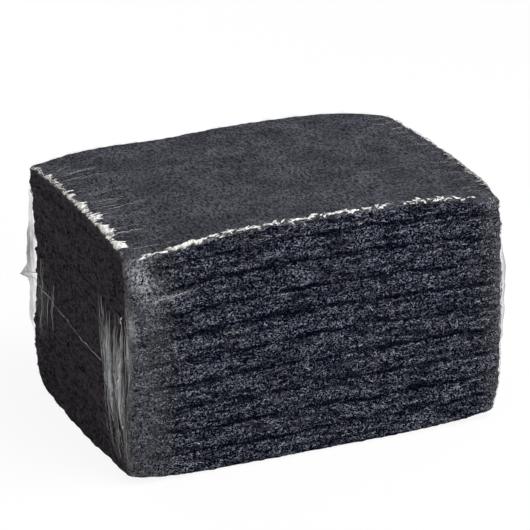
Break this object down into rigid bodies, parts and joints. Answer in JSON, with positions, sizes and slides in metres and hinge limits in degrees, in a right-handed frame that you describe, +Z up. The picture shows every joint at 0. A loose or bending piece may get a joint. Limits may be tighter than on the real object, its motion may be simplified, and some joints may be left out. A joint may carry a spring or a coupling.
{
  "type": "shrink-wrapped pack of grill cleaning pads",
  "caption": "Rectangular stack of black non-woven fibre pads for scouring a grill, held tight in clear shrink film with gathered corners.",
  "frame": {"origin": "on the floor, under the middle of the stack of pads, at the middle of the film's flat base", "axes": "+Z up through the stack, +X along the pads' long side, and the film's smooth side, without a weld, towards -Y"},
  "size_m": [0.1602, 0.1088, 0.0972],
  "materials": {
    "black_fibre": "matt non-woven fibre with a coarse, curly grain",
    "clear_film": "clear shrink film, glossy where it is stretched over edges and milky where it is gathered"
  },
  "bodies": {
    "root": {"pad_01": "black_fibre", "pad_02": "black_fibre", "pad_03": "black_fibre", "pad_04": "black_fibre", "pad_05": "black_fibre", "pad_06": "black_fibre", "pad_07": "black_fibre", "pad_08": "black_fibre", "pad_09": "black_fibre", "pad_10": "black_fibre", "shrink_wrap": "clear_film"}
  },
  "joints": []
}
